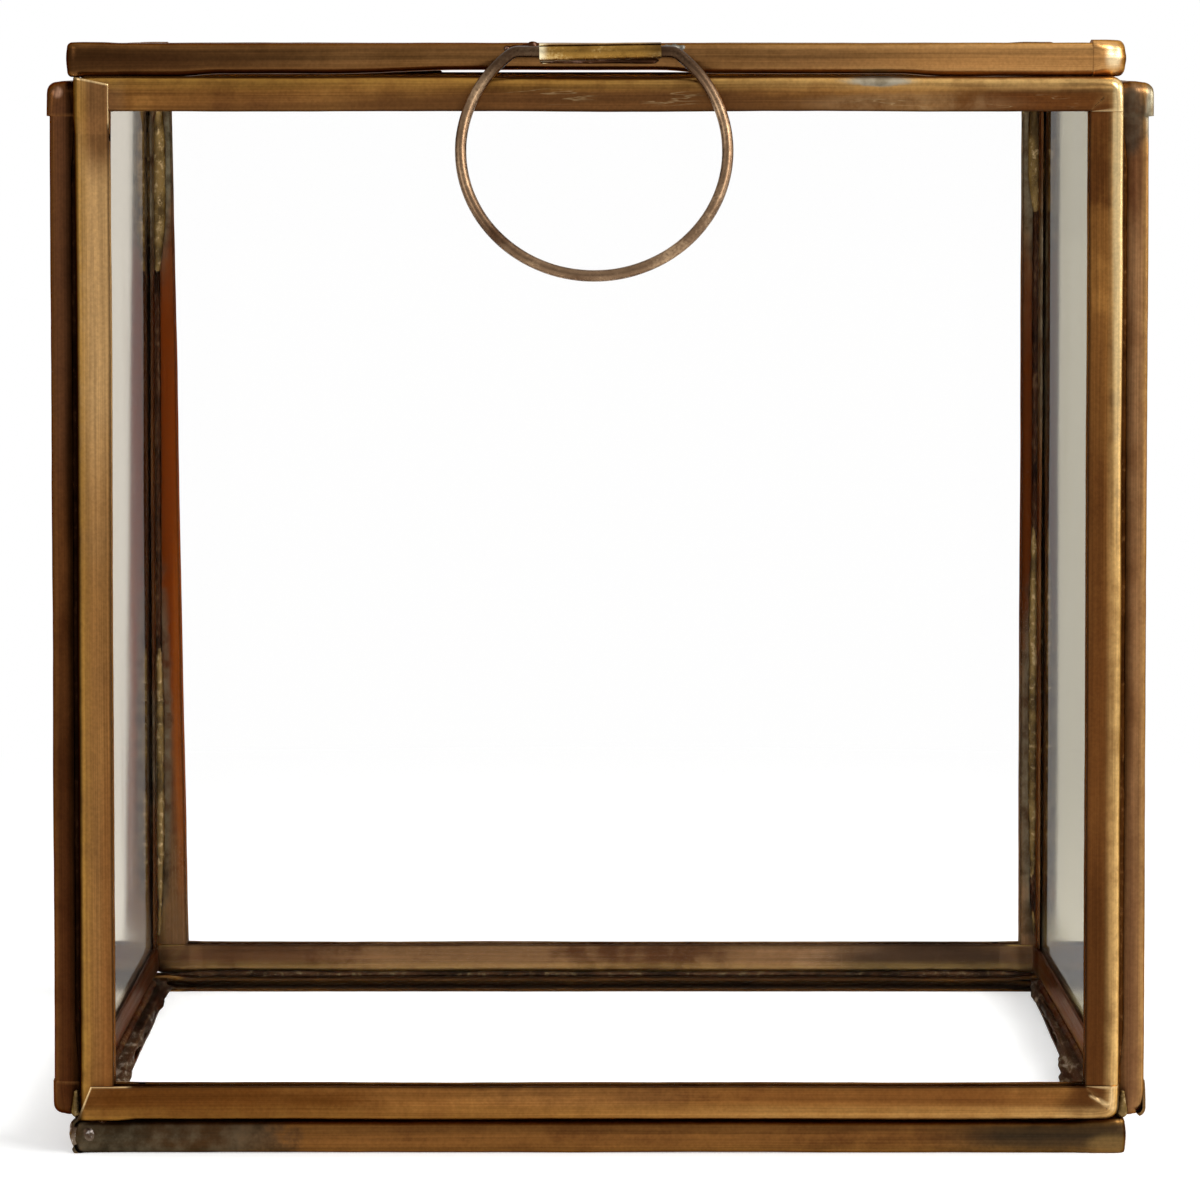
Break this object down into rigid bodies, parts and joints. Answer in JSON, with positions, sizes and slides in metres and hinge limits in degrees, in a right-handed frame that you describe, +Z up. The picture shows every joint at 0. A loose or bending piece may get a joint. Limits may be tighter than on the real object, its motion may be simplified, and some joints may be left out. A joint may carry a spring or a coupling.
{
  "type": "glass box",
  "caption": "Cube-like display box of clear panes framed in folded brass strip, with a lid that swings back on a wire hinge and a wire ring pull on its front edge.",
  "frame": {"origin": "under the middle of the whole box, ring pull and hinge included, on the surface that it stands on", "axes": "+Z up, the front with the ring pull faces -Y, +X to the right seen from the front"},
  "size_m": [0.1104, 0.118, 0.1116],
  "materials": {
    "brass_strip": "antique, brushed along the strip, worn bright on the rounded edges",
    "dark_brass": "dark antique",
    "brass_wire": "antique, satin",
    "solder": "dull grey with olive tarnish",
    "pane": "clear"
  },
  "bodies": {
    "box": {"front_channel": "brass_strip", "back_channel": "brass_strip", "left_channel": "brass_strip", "right_channel": "brass_strip", "base_channel": "brass_strip", "front_glass": "pane", "back_glass": "pane", "left_glass": "pane", "right_glass": "pane", "base_glass": "pane", "corner_seam_front_left": "solder", "corner_seam_front_right": "solder", "corner_seam_back_left": "solder", "corner_seam_back_right": "solder", "base_seam_front": "solder", "base_seam_back": "solder", "base_seam_left": "solder", "base_seam_right": "solder", "foot_solder_front_left": "solder", "foot_solder_front_right": "solder", "foot_solder_back_left": "solder", "foot_solder_back_right": "solder", "hinge_barrel_left": "dark_brass", "hinge_barrel_right": "dark_brass", "hinge_solder_left": "solder", "hinge_solder_right": "solder", "hinge_pin": "brass_wire"},
    "lid": {"lid_channel": "brass_strip", "lid_glass": "pane", "hinge_barrel_middle": "dark_brass", "hinge_solder_middle": "solder", "ring_sleeve": "brass_strip", "sleeve_solder": "solder"},
    "ring": {"ring_handle": "brass_wire"}
  },
  "joints": [
    {"name": "lid_hinge", "type": "hinge", "parent": "box", "child": "lid", "pos_m": [-0.0004, 0.05809, 0.1096], "axis": [-1, 0, 0], "range_deg": [0, 195]},
    {"name": "ring_swing", "type": "hinge", "parent": "lid", "child": "ring", "pos_m": [-0.0005, -0.04959, 0.11053], "axis": [-1, 0, 0], "range_deg": [0, 175]}
  ]
}
